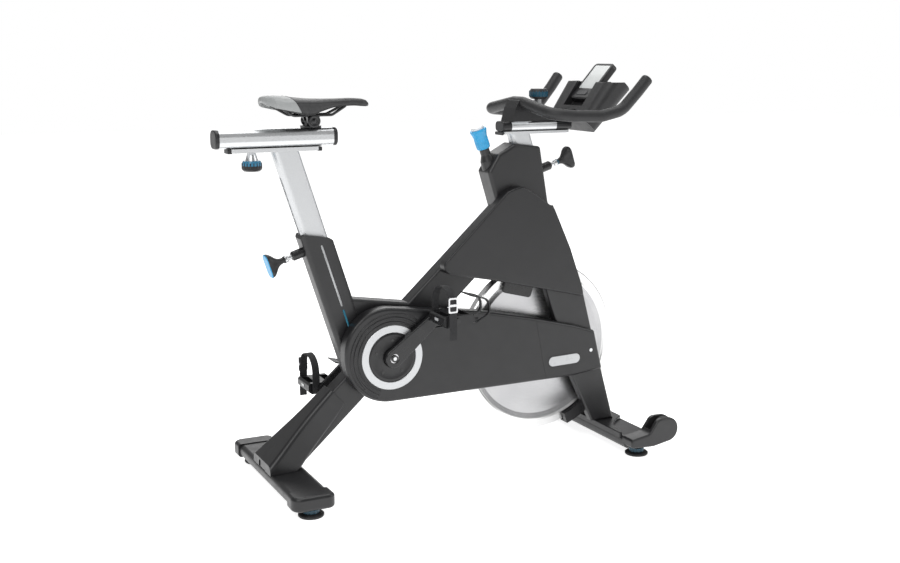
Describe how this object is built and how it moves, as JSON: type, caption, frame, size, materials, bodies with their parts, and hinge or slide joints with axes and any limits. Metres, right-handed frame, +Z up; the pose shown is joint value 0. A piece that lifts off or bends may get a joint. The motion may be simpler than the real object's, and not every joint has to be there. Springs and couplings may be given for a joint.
{
  "type": "indoor spin bike",
  "caption": "Indoor spin bike with a rim flywheel, belt guard, sliding saddle and handlebar on sprung-pin posts, toe-cage pedals, console and levelling feet.",
  "frame": {"origin": "on the floor, midway along the length, on the plane of symmetry", "axes": "+X forward to the flywheel and handlebar, +Y to the rider's left, +Z up; the belt side is at -Y"},
  "size_m": [1.2286, 0.514, 1.0757],
  "materials": {
    "frame_paint": "charcoal, satin",
    "cover_plastic": "charcoal, fine satin",
    "black_plastic": "black, satin",
    "accent_plastic": "bright blue",
    "knob_plastic": "dark teal",
    "key_plastic": "grey",
    "aluminium": "anodised, brushed",
    "flywheel_steel": "turned and polished",
    "steel": "bright",
    "black_steel": "black, satin",
    "trim_chrome": "satin",
    "rubber": "black",
    "grip": "black, soft",
    "saddle_cover": "black, padded"
  },
  "bodies": {
    "frame": {"seat_tube": "frame_paint", "head_tube": "frame_paint", "main_beam": "frame_paint", "rear_leg": "frame_paint", "crank_shell": "frame_paint", "fork_leg_right": "frame_paint", "fork_leg_left": "frame_paint", "rear_stabilizer": "frame_paint", "rear_end_caps": "cover_plastic", "front_stabilizer": "frame_paint", "wheel_arms": "frame_paint", "rear_leg_boot": "cover_plastic", "upper_cover_right": "cover_plastic", "upper_cover_left": "cover_plastic", "belt_guard": "cover_plastic", "belt_guard_front": "cover_plastic", "guard_ring": "trim_chrome", "cover_screws": "steel", "bearings": "steel", "drive_belt": "rubber", "flywheel_rim_guard": "black_plastic", "pin_bosses": "black_steel"},
    "crank": {"crank_axle": "steel", "crank_arm_right": "black_steel", "crank_arm_left": "black_steel", "crank_hardware": "steel", "drive_pulley": "aluminium"},
    "right_pedal": {"pedal_right": "black_plastic", "toe_cage_right": "black_plastic"},
    "left_pedal": {"pedal_left": "black_plastic", "toe_cage_left": "black_plastic"},
    "flywheel_set": {"flywheel": "flywheel_steel", "flywheel_pulley": "aluminium", "flywheel_axle": "steel"},
    "caliper": {"brake_caliper": "black_steel"},
    "rod": {"brake_rod": "steel"},
    "resistance": {"resistance_knob": "accent_plastic"},
    "seat_mast": {"seat_post": "aluminium", "seat_carriage": "aluminium"},
    "seat_clamp_knob": {"seat_knob": "knob_plastic"},
    "seat_slide": {"seat_slider": "aluminium", "slider_caps": "black_plastic", "saddle_clamp": "black_steel"},
    "saddle_set": {"saddle_rails": "black_steel", "saddle": "saddle_cover"},
    "bar_mast": {"bar_post": "aluminium"},
    "bars": {"bar_slider": "aluminium", "handlebar": "grip", "bottle_holder": "cover_plastic", "console": "black_plastic"},
    "bar_clamp_knob": {"bar_knob": "knob_plastic"},
    "key": {"console_key": "key_plastic"},
    "seat_pop_pin": {"seat_pin": "black_plastic"},
    "bar_pop_pin": {"bar_pin": "black_plastic"},
    "rear_left_foot": {"foot_rear_left": "rubber"},
    "rear_right_foot": {"foot_rear_right": "rubber"},
    "front_left_foot": {"foot_front_left": "rubber"},
    "front_right_foot": {"foot_front_right": "rubber"},
    "left_roller": {"transport_wheel_left": "rubber"},
    "right_roller": {"transport_wheel_right": "rubber"}
  },
  "joints": [
    {"name": "flywheel_spin", "type": "hinge", "parent": "frame", "child": "flywheel_set", "pos_m": [0.29375, 0, 0.297], "axis": [0, 1, 0], "continuous": true},
    {"name": "crank_spin", "type": "hinge", "parent": "frame", "child": "crank", "pos_m": [-0.18125, 0, 0.33], "axis": [0, 1, 0], "continuous": true},
    {"name": "right_pedal_spin", "type": "hinge", "parent": "crank", "child": "right_pedal", "pos_m": [-0.04858, -0.1416, 0.43629], "axis": [0, 1, 0], "continuous": true},
    {"name": "left_pedal_spin", "type": "hinge", "parent": "crank", "child": "left_pedal", "pos_m": [-0.31392, 0.1416, 0.22371], "axis": [0, 1, 0], "continuous": true},
    {"name": "caliper_swing", "type": "hinge", "parent": "frame", "child": "caliper", "pos_m": [0.27575, 0, 0.579], "axis": [0, 1, 0], "range_deg": [-2, 2]},
    {"name": "brake_press", "type": "slide", "parent": "frame", "child": "rod", "axis": [0.342, 0, -0.9397], "range_m": [0, 0.008], "stiffness_N_per_m": 900, "springref_m": -0.006},
    {"name": "resistance_turn", "type": "hinge", "parent": "rod", "child": "resistance", "pos_m": [0.12175, 0, 0.855], "axis": [-0.342, 0, 0.9397], "range_deg": [-360, 360]},
    {"name": "seat_height", "type": "slide", "parent": "frame", "child": "seat_mast", "axis": [-0.309, 0, 0.9511], "range_m": [-0.19, 0.07]},
    {"name": "seat_clamp_turn", "type": "hinge", "parent": "seat_mast", "child": "seat_clamp_knob", "pos_m": [-0.51925, 0, 0.822], "axis": [0, 0, 1], "range_deg": [-270, 0]},
    {"name": "seat_fore_aft", "type": "slide", "parent": "seat_mast", "child": "seat_slide", "axis": [1, 0, 0], "range_m": [-0.044, 0.05]},
    {"name": "saddle_tilt", "type": "hinge", "parent": "seat_slide", "child": "saddle_set", "pos_m": [-0.36525, 0, 0.941], "axis": [0, 1, 0], "range_deg": [-8, 8]},
    {"name": "bar_height", "type": "slide", "parent": "frame", "child": "bar_mast", "axis": [-0.3007, 0, 0.9537], "range_m": [-0.012, 0.12]},
    {"name": "bar_fore_aft", "type": "slide", "parent": "bar_mast", "child": "bars", "axis": [1, 0, 0], "range_m": [-0.022, 0.05]},
    {"name": "bar_clamp_turn", "type": "hinge", "parent": "bars", "child": "bar_clamp_knob", "pos_m": [0.28875, 0, 0.905], "axis": [0, 0, 1], "range_deg": [-270, 0]},
    {"name": "key_press", "type": "slide", "parent": "bars", "child": "key", "axis": [0.7431, 0, -0.6691], "range_m": [0, 0.001], "stiffness_N_per_m": 800, "springref_m": -0.0005},
    {"name": "seat_pin_pull", "type": "slide", "parent": "frame", "child": "seat_pop_pin", "axis": [-0.9511, 0, -0.309], "range_m": [0, 0.012], "stiffness_N_per_m": 900, "springref_m": -0.006},
    {"name": "bar_pin_pull", "type": "slide", "parent": "frame", "child": "bar_pop_pin", "axis": [0.9537, 0, 0.3007], "range_m": [0, 0.012], "stiffness_N_per_m": 900, "springref_m": -0.006},
    {"name": "rear_left_foot_turn", "type": "hinge", "parent": "frame", "child": "rear_left_foot", "pos_m": [-0.46475, 0.22, 0], "axis": [0, 0, 1], "continuous": true},
    {"name": "rear_right_foot_turn", "type": "hinge", "parent": "frame", "child": "rear_right_foot", "pos_m": [-0.46475, -0.22, 0], "axis": [0, 0, 1], "continuous": true},
    {"name": "front_left_foot_turn", "type": "hinge", "parent": "frame", "child": "front_left_foot", "pos_m": [0.51075, 0.19, 0], "axis": [0, 0, 1], "continuous": true},
    {"name": "front_right_foot_turn", "type": "hinge", "parent": "frame", "child": "front_right_foot", "pos_m": [0.51075, -0.19, 0], "axis": [0, 0, 1], "continuous": true},
    {"name": "left_roller_spin", "type": "hinge", "parent": "frame", "child": "left_roller", "pos_m": [0.58175, 0.218, 0.074], "axis": [0, 1, 0], "continuous": true},
    {"name": "right_roller_spin", "type": "hinge", "parent": "frame", "child": "right_roller", "pos_m": [0.58175, -0.218, 0.074], "axis": [0, 1, 0], "continuous": true}
  ],
  "couplings": [
    {"joint": "crank_spin", "follows": "flywheel_spin", "ratio": 0.3},
    {"joint": "caliper_swing", "follows": "resistance_turn", "ratio": 0.005556}
  ]
}
